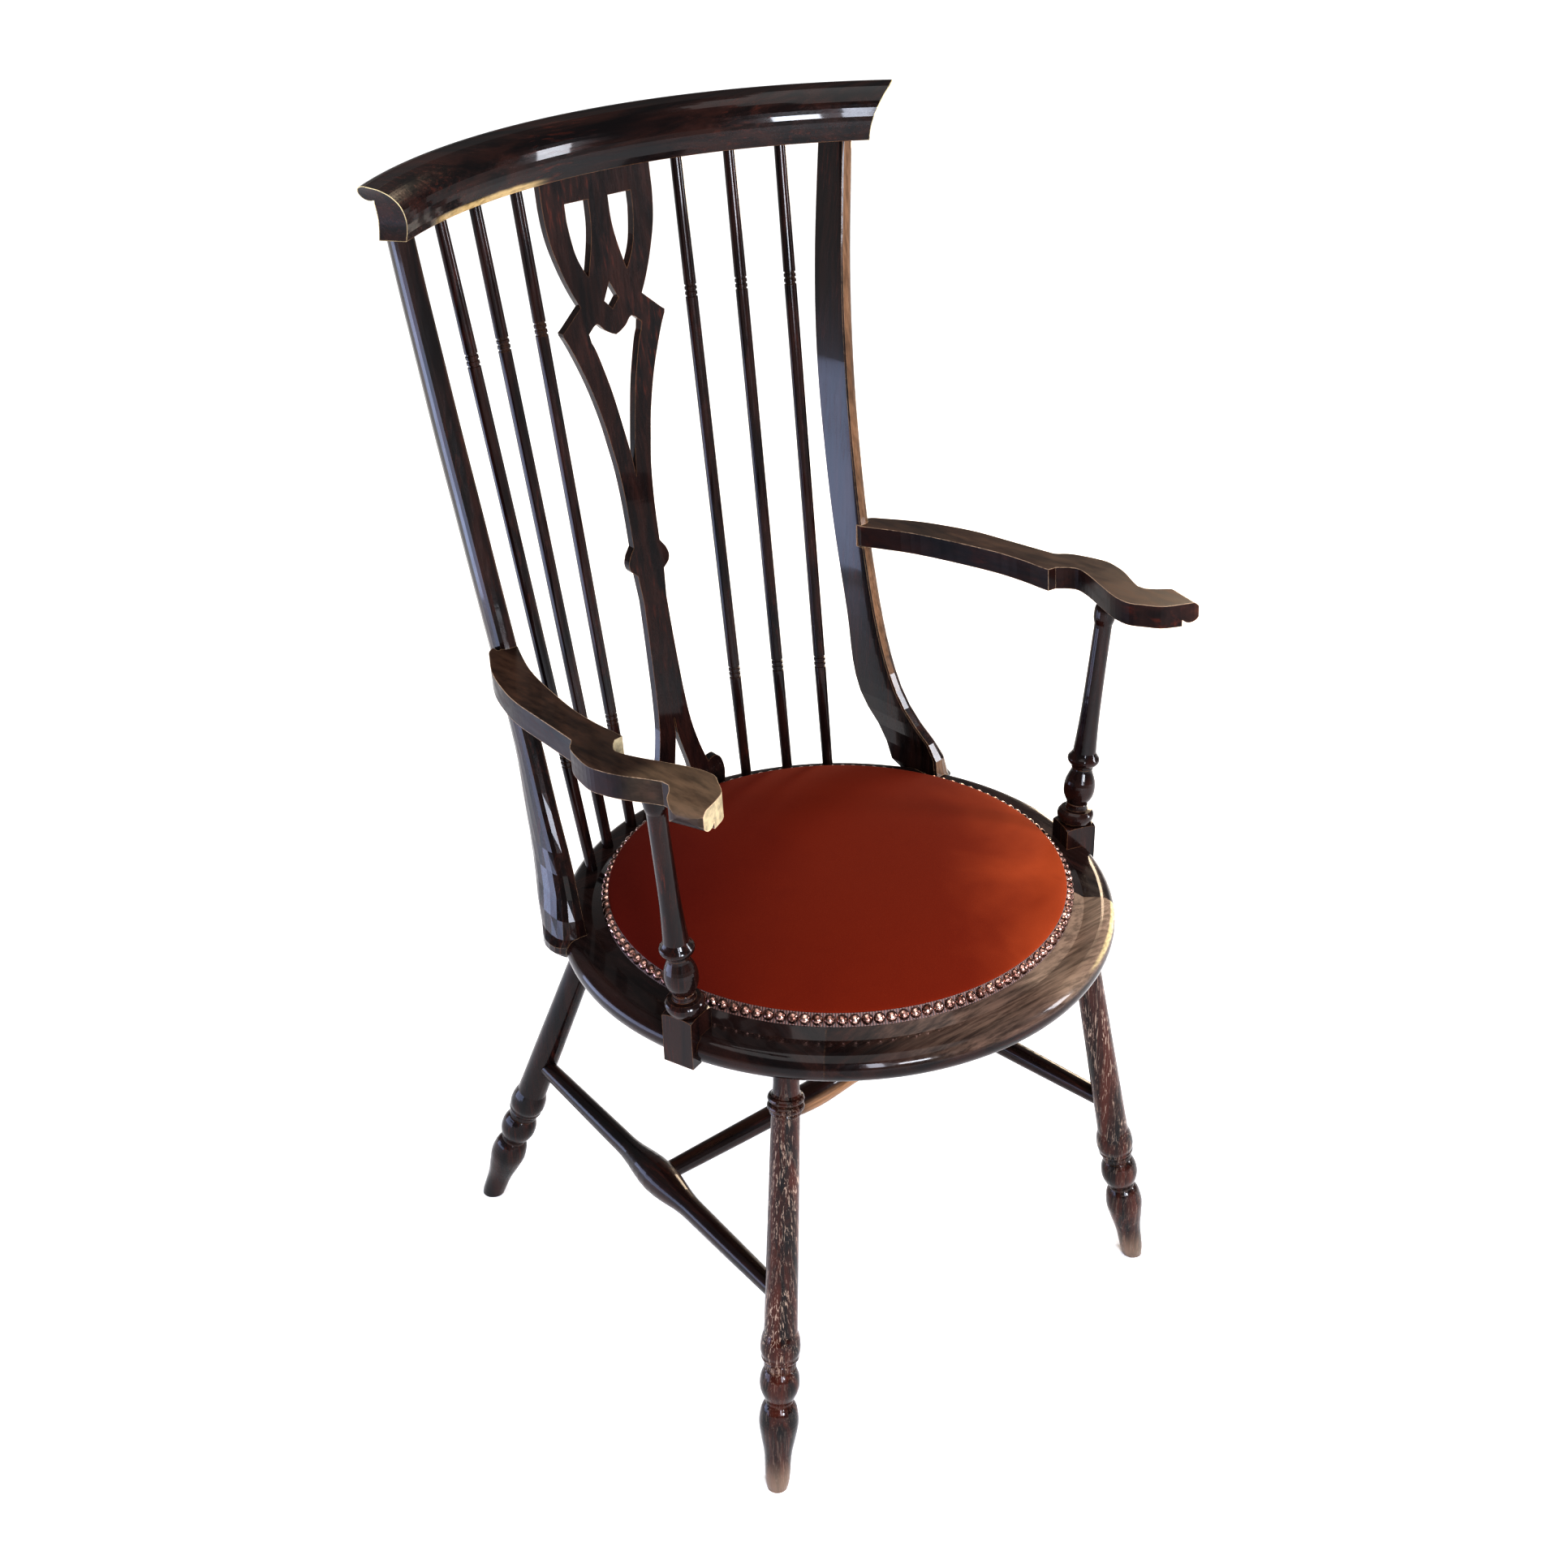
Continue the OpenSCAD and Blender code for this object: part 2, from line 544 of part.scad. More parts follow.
// Splat: half its outline and half of each opening, drawn upward from the rim and outward from the middle
splat_drawn = concat(
    [[56, 572]],
    smooth([[56, 547], [55, 533], [53, 520], [50, 508], [44.5, 491], [38, 475], [32, 463]], 3),
    smooth([[36, 459.5], [43, 453.5], [50, 447.5], [53.5, 445]], 2),
    smooth([[53, 442], [48, 432], [39.5, 411], [32, 389], [25, 362], [21, 340], [17, 314],
        [14.8, 281], [14.3, 247]], 3),
    smooth([[19.5, 240], [22, 233], [21, 227], [17, 223], [14.5, 221]], 3),
    smooth([[12.5, 195], [13.3, 160], [14.5, 125], [15.5, 103], [18, 74], [23.5, 48], [30, 28]], 3),
    smooth([[34, 30.5], [40, 31], [45, 26], [47, 15], [45.5, 5], [45, 0]], 3),
    [[12, 0]],
    smooth([[11.5, 10], [9, 30], [6, 44], [1.2, 66], [0.5, 81]], 3));
window_drawn = concat(
    [[34, 549]], smooth([[34, 535], [32.5, 522], [30, 508], [26, 497], [20, 486]], 3),
    smooth([[17.5, 494], [13, 512], [10.4, 529], [10, 549]], 3));
vee_drawn = concat(
    smooth([[0.01, 434], [5, 436], [11.3, 440], [18.3, 446.5], [27.5, 439.5]], 3),
    smooth([[26, 432], [22.5, 424], [17, 405], [12, 385], [7, 358], [2.5, 331], [0.01, 308]], 3));
splat_tongue = 80;
splat_tongue_h = 8;

// The drawn shape is fitted to the chair: only the splat's plain middle gives way when the rise changes
function up(h) = h + (rise - splat_drawn[0][1]) * min(1, max(0, (h - 125) / 75));
function fitted(p) = [for (q = p) [q[0] * splat_w / (2 * splat_drawn[0][0]), up(q[1])]];

module splat_outline() {
    difference() {
        polygon(concat(fitted(splat_drawn), flipped(fitted(splat_drawn))));
        for (side = [-1, 1])
            sided(side) polygon(fitted(window_drawn));
        polygon(fitted([[0, 479], [7.5, 464], [0, 456], [-7.5, 464]]));
        polygon(concat(fitted(vee_drawn), flipped(fitted(vee_drawn))));
    }
}

splat_foot_y = sqrt(pow(rim_r - 20, 2) - pow(24, 2)) - splat_t / 2;
splat_head_y = crest_y + splat_back;
function splat_y(t) = splat_foot_y + (splat_head_y - splat_foot_y) * t + 4 * splat_bow * t * (1 - t);
foot_tenon_w = 22;
foot_tenon = 10;

module splat() {
    steps = 16;
    side_view = concat(
        [for (i = [0 : steps]) [splat_y(i / steps), rise * i / steps]],
        [for (i = [steps : -1 : 0]) [splat_y(i / steps) + splat_t, rise * i / steps]]);
    translate([0, 0, seat_h]) intersection() {
        translate([-big / 2, 0, 0]) rotate([90, 0, 90]) linear_extrude(big) polygon(side_view);
        translate([0, big / 2, 0]) rotate([90, 0, 0]) linear_extrude(big) splat_outline();
    }
    translate([-splat_tongue / 2, splat_head_y, crest_z - 0.5])
        cube([splat_tongue, splat_t, splat_tongue_h + 0.5]);
    for (side = [-1, 1])
        sided(side) translate([18, splat_foot_y, seat_h - foot_tenon])
            cube([foot_tenon_w, splat_t, foot_tenon + 0.5]);
}

// Rim in four segments
module rim_cuts() {
    for (side = [-1, 1]) {
        for (back = [false, true])
            sided(side) along(leg_foot(back), leg_head(back))
                translate([0, 0, leg_length(back) - 6])
                    cylinder(d = leg_tenon_d + 2 * fit, h = 6 + leg_tenon + fit);
        for (i = [0 : 2])
            sided(side) along(spindle_foot(i), spindle_head(i)) translate([0, 0, -spindle_tenon - fit])
                cylinder(d = spindle_tenon_d + 2 * fit, h = 3 * spindle_tenon);
        sided(side) translate([18 - fit, splat_foot_y - fit, seat_h - foot_tenon - fit])
            cube([foot_tenon_w + 2 * fit, splat_t + 2 * fit, 2 * foot_tenon]);
        sided(side) at_block() translate([notch_r, -block_side / 2 - fit, rim_under - 1])
            cube([rim_t, block_side + 2 * fit, rim_t + 2]);
        sided(side) at_block() screw_space(block_screw_r, 0);
        sided(side) screw_space(post_screw_at[0], post_screw_at[1]);
    }
}

module screw_space(x, y) {
    translate([x, y, rim_under - 1]) cylinder(d = screw_d + 2 * fit, h = rim_t + 2);
    translate([x, y, rim_under - 1]) cylinder(d = screw_head_d + 2 * fit, h = 1 + screw_sink + screw_head_h);
}

module screw(x, y) {
    translate([x, y, rim_under + screw_sink]) cylinder(d = screw_head_d, h = screw_head_h);
    translate([x, y, rim_under + screw_sink]) cylinder(d = screw_d, h = rim_t - screw_sink + screw_bite);
}

module post_screw() {
    screw(post_screw_at[0], post_screw_at[1]);
}

module block_screw() {
    at_block() screw(block_screw_r, 0);
}

module rim(k) {
    difference() {
        rotate([0, 0, rim_joint_turn + 90 * k]) rotate_extrude(angle = 90, $fn = 128) rim_profile();
        rim_cuts();
    }
}

// Upholstery
web_pitch = 60;
web_reach = trim_r - 1;
module webbing(level, turn) {
    rotate([0, 0, turn]) intersection() {
        translate([0, 0, deck + level * web_t]) cylinder(r = web_reach, h = web_t);
        for (i = [-2 : 2])
            translate([-big / 2, i * web_pitch - web_w / 2, deck - 1]) cube([big, web_w, big]);
    }
}

cushion_in_r = trim_r - soft_gap;         // inside the trim
cushion_r = band_head[0] - 0.5;           // over the trim, above the nails
cushion_low = deck + 2 * web_t;
cushion_edge = seat_top + soft_gap;
cushion_rings = 17;
cushion_sides = 64;
function crown(t) = cushion_edge + 2.5 + (crown_h - 2.5) * (1 - pow(t, 2.6));
function cushion_ring(r, z) = [for (i = [0 : cushion_sides - 1]) let (a = 360 * i / cushion_sides)
    [r * cos(a), r * sin(a), z]];
module cushion() {
    loft(concat(
        [cushion_ring(cushion_in_r, cushion_low), cushion_ring(cushion_in_r, cushion_edge)],
        [for (q = arc(cushion_r - 1.5, cushion_edge + 1.5, 1.5, -90, 30, 3)) cushion_ring(q[0], q[1])],
        [for (i = [0 : cushion_rings - 6]) let (t = 1 - pow(i / (cushion_rings - 5), 1.3))
            cushion_ring((cushion_r - 0.6) * t + 0.1, crown(t))]));
}

module trim() {
    difference() {
        rotate_extrude($fn = 128) polygon([[trim_r, deck], band_foot, band_head, band_head + [-1, 0.5],
            [trim_r + 1, seat_top], [trim_r, seat_top - 1]]);
        for (k = [0 : 3])
            at_nails(k) translate([0, 0, -shank - fit])
                cylinder(d = shank_d + 2 * fit, h = shank + fit + 1, $fn = 16);
    }
}

// The nails of one quarter of the ring: 0 at the right, 1 at the back, 2 at the left and 3 at the front
module at_nails(k) {
    for (i = [ceil(nail_count * k / 4) : ceil(nail_count * (k + 1) / 4) - 1])
        rotate([0, 0, 360 * i / nail_count - 45]) translate([band_mid[0], 0, band_mid[1]])
            rotate([0, nail_lean, 0]) children();
}

module nails(k) {
    dome_r = (pow(nail_d / 2, 2) + pow(nail_rise, 2)) / (2 * nail_rise);
    half = asin(nail_d / 2 / dome_r);
    at_nails(k) rotate_extrude($fn = 24)
        polygon(concat([[0, -shank], [shank_d / 2, -shank], [shank_d / 2, 0], [nail_d / 2 - 1.5, 0]],
            arc(0, nail_rise - dome_r, dome_r, 90 - half, 90, 5)));
}

placed(wood) crest();  // crest_rail
placed(wood) sided(-1) post();  // post_left
placed(wood) sided(1) post();  // post_right
placed(wood) splat();
placed(wood) sided(-1) spindle(2);  // spindle_left_outer
placed(wood) sided(-1) spindle(1);  // spindle_left_middle
placed(wood) sided(-1) spindle(0);  // spindle_left_inner
placed(wood) sided(1) spindle(0);  // spindle_right_inner
placed(wood) sided(1) spindle(1);  // spindle_right_middle
placed(wood) sided(1) spindle(2);  // spindle_right_outer
placed(wood) sided(-1) arm();  // arm_left
placed(wood) sided(1) arm();  // arm_right
placed(wood) sided(-1) arm_support();  // arm_support_left
placed(wood) sided(1) arm_support();  // arm_support_right
placed(wood) rim(2);  // rim_front
placed(wood) rim(1);  // rim_left
placed(wood) rim(0);  // rim_back
placed(wood) rim(3);  // rim_right
placed(wood) sided(-1) leg(false);  // leg_front_left
placed(wood) sided(1) leg(false);  // leg_front_right
placed(wood) sided(-1) leg(true);  // leg_back_left
placed(wood) sided(1) leg(true);  // leg_back_right
placed(wood) sided(-1) side_stretcher();  // stretcher_left
placed(wood) sided(1) side_stretcher();  // stretcher_right
placed(wood) middle_stretcher();  // stretcher_middle
placed(jute) webbing(1, 0);  // webbing_across
placed(jute) webbing(0, 90);  // webbing_lengthwise
placed(velvet) cushion();  // seat_cushion
placed(braid) trim();  // seat_trim
placed(copper) nails(0);  // nails_right
placed(copper) nails(1);  // nails_back
placed(copper) nails(2);  // nails_left
placed(copper) nails(3);  // nails_front
placed(steel) sided(-1) post_screw();  // screw_post_left
placed(steel) sided(1) post_screw();  // screw_post_right
placed(steel) sided(-1) block_screw();  // screw_block_left
placed(steel) sided(1) block_screw();  // screw_block_right
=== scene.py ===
# Dresses the round-seat spindle-back armchair: ebonised wood, rust velvet, bronze nails.
import math

import bmesh
import bpy
from mathutils import Matrix, Vector


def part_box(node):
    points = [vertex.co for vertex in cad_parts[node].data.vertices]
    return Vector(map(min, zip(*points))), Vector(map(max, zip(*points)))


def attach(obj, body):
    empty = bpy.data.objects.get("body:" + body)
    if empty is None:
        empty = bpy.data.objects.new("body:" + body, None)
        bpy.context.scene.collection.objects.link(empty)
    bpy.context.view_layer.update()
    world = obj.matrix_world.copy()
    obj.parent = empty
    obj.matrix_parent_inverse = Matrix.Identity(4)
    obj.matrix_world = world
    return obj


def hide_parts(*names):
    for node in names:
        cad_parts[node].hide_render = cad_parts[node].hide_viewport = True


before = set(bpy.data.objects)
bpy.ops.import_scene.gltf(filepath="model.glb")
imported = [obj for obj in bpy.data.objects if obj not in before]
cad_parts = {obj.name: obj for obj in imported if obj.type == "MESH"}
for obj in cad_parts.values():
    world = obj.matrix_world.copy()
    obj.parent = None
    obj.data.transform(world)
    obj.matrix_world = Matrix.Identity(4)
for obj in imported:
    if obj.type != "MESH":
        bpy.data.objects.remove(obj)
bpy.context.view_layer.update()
print("frame loaded, nodes:", len(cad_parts))


# helpers

def linear(code):
    # A colour given as sRGB hex, as the renderer wants it
    parts = [int(code[i:i + 2], 16) / 255 for i in (1, 3, 5)]
    return [c / 12.92 if c <= 0.04045 else ((c + 0.055) / 1.055) ** 2.4 for c in parts] + [1.0]


def perMetre(size):
    # The scale of a pattern whose marks are this many millimetres apart
    return 1000 / size


def add(tree, kind, links=None, **settings):
    # One node with its settings; each input is a value, a colour, a socket or another node's first output
    made = tree.nodes.new("ShaderNode" + kind)
    for key, value in settings.items():
        setattr(made, key, value)
    for key, value in (links or {}).items():
        if isinstance(value, bpy.types.Node):
            value = value.outputs[0]
        if isinstance(value, bpy.types.NodeSocket):
            tree.links.new(value, made.inputs[key])
        else:
            made.inputs[key].default_value = linear(value) if isinstance(value, str) else value
    return made


def mask(tree, *ramps):
    # Multiplies smooth ramps: each runs from 0 to 1, or from its own first end to its second,
    # while its field goes from the low number to the high one
    total = None
    for field, low, high, *ends in ramps:
        start, end = ends or (0.0, 1.0)
        ramp = add(tree, "MapRange", {0: field, 1: low, 2: high, 3: start, 4: end},
                   interpolation_type="SMOOTHSTEP")
        total = add(tree, "Math", {0: total, 1: ramp}, operation="MULTIPLY") if total else ramp
    return total


def paint(tree, colour, *coats):
    # Lays colours over one another, each where its mask says
    for amount, coat in coats:
        colour = add(tree, "MixRGB", {0: amount, 1: colour, 2: coat})
    return colour


def finish(tree, height, strength, depth, **surface):
    # The bumped surface and the material's output
    bump = add(tree, "Bump", {"Strength": strength, "Distance": depth, "Height": height})
    links = {key.replace("_", " "): value for key, value in surface.items()}
    shader = add(tree, "BsdfPrincipled", {**links, "Normal": bump})
    add(tree, "OutputMaterial", {"Surface": shader})


def newMaterial(name):
    material = bpy.data.materials.new(name)
    material.use_nodes = True
    tree = material.node_tree
    tree.nodes.clear()
    return material, tree, add(tree, "TexCoord").outputs["Object"]


def dress(names, material):
    for name in names:
        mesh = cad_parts[name].data
        mesh.materials.clear()
        mesh.materials.append(material)


def nodesNamed(start):
    return [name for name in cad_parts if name.startswith(start)]


# camera, solved from the photograph: place in metres, turns in degrees,
# focal length, frame and centre in the photograph's own pixels

view = {"place": (-0.9965, -1.2162, 1.4224), "azimuth": -38.40, "elevation": 29.91, "roll": -1.54,
        "focal": 2585.6, "frame": 1932, "centreX": 956.0, "sensor": 36.0, "reach": 100.0}


def placeCamera():
    a, e, r = (math.radians(view[k]) for k in ("azimuth", "elevation", "roll"))
    back = Vector((math.sin(a) * math.cos(e), -math.cos(a) * math.cos(e), math.sin(e)))
    right = Vector((math.cos(a), math.sin(a), 0))
    up = back.cross(right)
    turnedRight = math.cos(r) * right + math.sin(r) * up
    turnedUp = -math.sin(r) * right + math.cos(r) * up
    data = bpy.data.cameras.new("camera")
    data.sensor_width = view["sensor"]
    data.lens = view["sensor"] * view["focal"] / view["frame"]
    data.shift_x = (view["frame"] / 2 - view["centreX"]) / view["frame"]
    data.clip_end = view["reach"]
    camera = bpy.data.objects.new("camera", data)
    turn = Matrix((turnedRight, turnedUp, back)).transposed().to_4x4()
    camera.matrix_world = Matrix.Translation(view["place"]) @ turn
    bpy.context.scene.collection.objects.link(camera)
    bpy.context.scene.camera = camera


placeCamera()
print("camera placed")


# wood: beech stained black and French polished, so it looks wet and near black, with brown where the stain is
# thin and tan where hands and feet have rubbed through it; on the rim's front the grey and the cream are
# partly painted reflection and highlight

# The last two lines have sizes in mm: the grain's figure along and across, with its count of streaks and
# fine lines, the flaked polish's figure along and across, with its count of flakes, one cloud of stain
# and one speck
wood = {"black": "#090506", "brown": "#26130f", "red": "#5a2415", "tan": "#8a6242", "cream": "#e6d6a8",
        "grey": "#8c7766", "shine": 0.17, "shineSpread": 0.18, "wornRough": 0.3, "specular": 0.08,
        "polish": 0.3, "polishRough": 0.05, "bumpDepth": 0.0004, "edgeWidth": 0.002,
        "figureLength": 556.0, "figureWidth": 38.5, "streaks": 3.0, "lines": 14.0,
        "flakeLength": 111.0, "flakeWidth": 11.1, "flakes": 5.0, "cloud": 91.0, "speck": 4.35}


def woodFields(tree, place, look):
    # What the colour is worked out from: the grain's noises, where a point is and which way it faces
    wide = look.get("figureWidth", wood["figureWidth"])
    stretch = [perMetre(wood["figureLength"] if axis == look["grain"] else wide) for axis in "XYZ"]
    along = add(tree, "Mapping", {"Vector": place, "Scale": stretch})
    normal = add(tree, "NewGeometry").outputs["Normal"]
    return {
        "place": place, "normal": normal,
        "up": add(tree, "SeparateXYZ", {0: normal}).outputs["Z"],
        "height": add(tree, "SeparateXYZ", {0: place}).outputs["Z"],
        "streaks": add(tree, "TexNoise", {"Vector": along, "Scale": wood["streaks"], "Detail": 6.0,
                                          "Roughness": 0.6, "Distortion": 0.6}),
        "fine": add(tree, "TexNoise", {"Vector": along, "Scale": wood["lines"], "Detail": 4.0,
                                       "Roughness": 0.65}),
        "clouds": add(tree, "TexNoise", {"Vector": place, "Scale": perMetre(wood["cloud"]), "Detail": 3.0}),
        "specks": add(tree, "TexNoise", {"Vector": place, "Scale": perMetre(wood["speck"]), "Detail": 4.0,
                                         "Roughness": 0.7})}


def rubAndHighlightFaces(tree, colour, field, look):
    # The top, greyed or browned by hands, and on the rim's front greyed partly by painted reflection
    if "top" in look:
        middle, radius = look.get("topWhere", ((0.0, 0.0, 0.5), 1.0))
        away = add(tree, "VectorMath", {0: field["place"], 1: middle}, operation="DISTANCE").outputs["Value"]
        rubbed = mask(tree, (field["up"], *look.get("topFacing", (0.6, 0.9))),
                      (away, radius * 0.6, radius, 1.0, 0.0), (field["fine"], 0.3, 0.66, 0.25, 1.0),
                      (field["streaks"], 0.3, 0.66, 0.5 * look["top"], look["top"]))
        colour = paint(tree, colour, (rubbed, look["topColour"]))
    # Faces rubbed by wear, and on the rim's nose a painted highlight: each has a direction, how closely the
    # surface must face it, a strength, a colour, and a middle and radius where the mark lies
    for direction, low, high, strength, code, middle, radius in look.get("faces", ()):
        turned = add(tree, "VectorMath", {0: field["normal"], 1: direction},
                     operation="DOT_PRODUCT").outputs["Value"]
        away = add(tree, "VectorMath", {0: field["place"], 1: middle}, operation="DISTANCE").outputs["Value"]
        rubbed = mask(tree, (turned, low, high), (away, radius * 0.7, radius, 1.0, 0.0),
                      (field["fine"], 0.3, 0.66, 0.5, 1.0),
                      (field["clouds"], 0.3, 0.62, 0.6 * strength, strength))
        colour = paint(tree, colour, (rubbed, code))
    return colour


def flakePolish(tree, colour, field, look):
    # Polish kicked off the turned part of a leg in flakes, and thin enough there to look red
    if "flake" in look:
        stretch = [perMetre(wood["flakeLength" if axis == look["grain"] else "flakeWidth"]) for axis in "XYZ"]
        kicked = add(tree, "Mapping", {"Vector": field["place"], "Scale": stretch})
        chips = add(tree, "TexNoise", {"Vector": kicked, "Scale": wood["flakes"], "Detail": 5.0,
                                       "Roughness": 0.7, "Distortion": 1.2})
        thin = mask(tree, (field["streaks"], 0.38, 0.68, 0.0, 0.4),
                    (field["height"], *look["thinOver"], 1.0, 0.7))
        bare = mask(tree, (chips, 0.53, 0.62), (field["clouds"], 0.34, 0.62, 0.3, look["flake"]),
                    (field["height"], *look["flakesFrom"], 0.2, 1.0),
                    (field["height"], *look["flakesTo"], 1.0, 0.35))
        colour = paint(tree, colour, (thin, wood["red"]), (bare, look["chip"]))
    if "foot" in look:
        low = mask(tree, (field["height"], *look["footBare"], 1.0, 0.0),
                   (field["streaks"], 0.3, 0.7, 0.4, look["foot"]))
        colour = paint(tree, colour, (low, wood["grey"]))
    return colour


def rubBands(tree, colour, field, look):
    # Bands along a lower edge: each has a bottom and a top end in metres, with the streaks between
    # them, a strength, a colour, and a middle and radius
    for bottom, topEnd, strength, code, middle, radius in look.get("bands", ()):
        away = add(tree, "VectorMath", {0: field["place"], 1: middle}, operation="DISTANCE").outputs["Value"]
        level = add(tree, "Math", {0: field["streaks"], 1: bottom - topEnd, 2: field["height"]},
                    operation="MULTIPLY_ADD")
        rubbed = mask(tree, (level, bottom, topEnd, strength, 0.0), (away, radius * 0.6, radius, 1.0, 0.0),
                      (field["fine"], 0.3, 0.6, 0.6, 1.0))
        colour = paint(tree, colour, (rubbed, code))
    return colour


def wearEdges(tree, colour, field, look):
    # An edge is where the rounded normal leans from the flat one; specks make its line ragged
    rounded = add(tree, "Bevel", {"Radius": look.get("edgeWidth", wood["edgeWidth"])}, samples=6)
    lean = add(tree, "VectorMath", {0: rounded, 1: field["normal"]}, operation="DOT_PRODUCT").outputs["Value"]
    ragged = add(tree, "Math", {0: field["specks"], 1: field["clouds"]})
    wear = mask(tree, (lean, 0.985, 0.88), (ragged, 0.78, 1.1, 0.15, look.get("edge", 0.5)))
    colour = paint(tree, colour, (wear, look.get("edgeColour", wood["tan"])))
    # Worn places: each has its x, y and z, a radius, a strength, and how much of it lies off the edges
    for x, y, z, radius, strength, fill in look.get("places", ()):
        away = add(tree, "VectorMath", {0: field["place"], 1: (x, y, z)},
                   operation="DISTANCE").outputs["Value"]
        away = add(tree, "Math", {0: field["streaks"], 1: -radius * 0.6, 2: away}, operation="MULTIPLY_ADD")
        bare = mask(tree, (away, radius * 0.2, radius * 0.7, strength, 0.0), (lean, 0.992, 0.93, fill, 1.0),
                    (field["fine"], 0.3, 0.6, 0.6, 1.0))
        colour = paint(tree, colour, (bare, wood["cream"]))
        wear = add(tree, "Math", {0: wear, 1: bare}, operation="MAXIMUM")
    return colour, wear


def ebonised(name, look):
    # The piece's own dictionary says how its grain runs, where it is worn and, on the rim, where reflection
    # and a highlight are painted
    material, tree, place = newMaterial(name)
    field = woodFields(tree, place, look)
    redness = look.get("red", 0.5)
    thinStain = mask(tree, (field["fine"], 0.5, 0.75), (field["clouds"], 0.4, 0.66, 0.0, redness))
    colour = paint(tree, wood["black"], (mask(tree, (field["streaks"], 0.35, 0.7)), wood["brown"]),
                   (thinStain, wood["red"]))
    colour = rubAndHighlightFaces(tree, colour, field, look)
    colour = flakePolish(tree, colour, field, look)
    colour = rubBands(tree, colour, field, look)
    colour, wear = wearEdges(tree, colour, field, look)

    shine = wood["shine"] + look.get("dull", 0.0)
    mottle = add(tree, "Math", {0: field["clouds"], 1: field["fine"]})
    dull = mask(tree, (mottle, 0.75, 1.3, shine, shine + wood["shineSpread"]))
    rough = add(tree, "Math", {0: wear, 1: wood["wornRough"], 2: dull}, operation="MULTIPLY_ADD",
                use_clamp=True)
    height = add(tree, "Math", {0: field["specks"], 1: 0.35, 2: field["fine"]}, operation="MULTIPLY_ADD")
    finish(tree, height, look.get("bump", 0.12), wood["bumpDepth"], Base_Color=colour, Roughness=rough,
           Specular_IOR_Level=wood["specular"], Coat_Weight=look.get("polish", wood["polish"]),
           Coat_Roughness=wood["polishRough"])
    return material


crest = {"grain": "X", "edge": 0.6, "edgeWidth": 0.0014, "red": 0.4, "bump": 0.04, "dull": -0.04,
         "places": [(-0.262, 0.165, 1.02, 0.05, 0.8, 0.0), (0.262, 0.165, 1.02, 0.05, 1.0, 0.0)],
         "bands": [(0.999, 1.002, 0.8, "#b39a6c", (-0.13, 0.24, 1.0), 0.08)]}
dress(["crest_rail"], ebonised("crestPolish", crest))

# The right post is rubbed brown down its narrow front
post = {"grain": "Z", "edge": 0.6, "edgeWidth": 0.0013, "edgeColour": "#c8a47e", "red": 0.35, "bump": 0.03,
        "dull": -0.02}
dress(["post_left"], ebonised("leftPostPolish", {**post, "edge": 0.3}))
dress(["post_right"], ebonised("rightPostPolish", {
    **post, "faces": [((0.1, -0.995, 0.0), 0.86, 0.97, 0.85, "#7c5c42", (0.2, 0.2, 0.7), 0.6)]}))

splat = {"grain": "Z", "edge": 0.5, "edgeWidth": 0.0012, "red": 0.6, "dull": 0.04}
dress(["splat"], ebonised("splatPolish", splat))

spindle = {"grain": "Z", "edge": 0.0, "red": 0.3, "bump": 0.03, "dull": -0.05}
dress(nodesNamed("spindle_"), ebonised("spindlePolish", spindle))

# Only the left arm is worn through to pale end grain, at its tip and at the step inside the arm
arm = {"grain": "Y", "figureWidth": 111.0, "edge": 0.8, "edgeWidth": 0.0013, "edgeColour": "#c4a88c",
       "top": 0.85, "topColour": "#4c382c", "red": 0.5, "bump": 0.08, "dull": 0.12, "polish": 0.06,
       "endGrain": (0.42, -0.907, 0.0)}
dress(["arm_left"], ebonised("leftArmPolish", {**arm, "faces": [
    (arm["endGrain"], 0.86, 0.9, 1.0, "#a8997a", (-0.243, -0.19, 0.667), 0.03),
    (arm["endGrain"], 0.86, 0.9, 1.0, "#b5a686", (-0.231, -0.063, 0.661), 0.02),
    ((-0.5, -0.2, 0.84), 0.3, 0.9, 0.6, "#77634f", (-0.255, -0.175, 0.67), 0.07)]}))
dress(["arm_right"], ebonised("rightArmPolish", {**arm, "top": 0.8, "faces": [
    ((0.3, -0.95, 0.0), 0.7, 0.9, 0.7, "#7a4a36", (0.262, -0.185, 0.667), 0.03)]}))

support = {"grain": "Z", "edge": 0.5, "edgeWidth": 0.0012, "red": 0.8, "dull": -0.02}
dress(["arm_support_left", "arm_support_right"], ebonised("supportPolish", support))

# The front quarter of the rim is greyed, partly by wear and partly by painted reflection of light from the
# back right, and its nose carries a cream band at the right, partly rubbed wear and partly a painted
# highlight
rim = {"edge": 0.0, "top": 0.3, "topColour": "#332a29", "red": 0.3, "bump": 0.06, "dull": -0.03,
       "figureWidth": 71.4}
rimWearAndLight = {**rim, "top": 0.95, "topColour": "#6a564a", "topFacing": (0.1, 0.5),
        "topWhere": ((0.13, -0.2, 0.42), 0.28), "polish": 0.2, "bump": 0.12, "figureWidth": 50.0,
        # The first face is the greyed top, partly painted reflection; the second is the cream band on the
        # nose, partly a painted highlight
        "faces": [((0.2, -0.5, 0.84), 0.7, 0.95, 0.7, "#937d6a", (0.13, -0.21, 0.42), 0.13),
                  ((0.5, -0.62, 0.6), 0.955, 0.99, 0.9, "#d2c18f", (0.15, -0.23, 0.415), 0.09)]}
dress(["rim_front"], ebonised("wornAndLitRimPolish", {**rimWearAndLight, "grain": "X"}))
dress(["rim_back"], ebonised("rimPolishAcross", {**rim, "grain": "X"}))
dress(["rim_left", "rim_right"], ebonised("rimPolishLengthwise", {**rim, "grain": "Y"}))

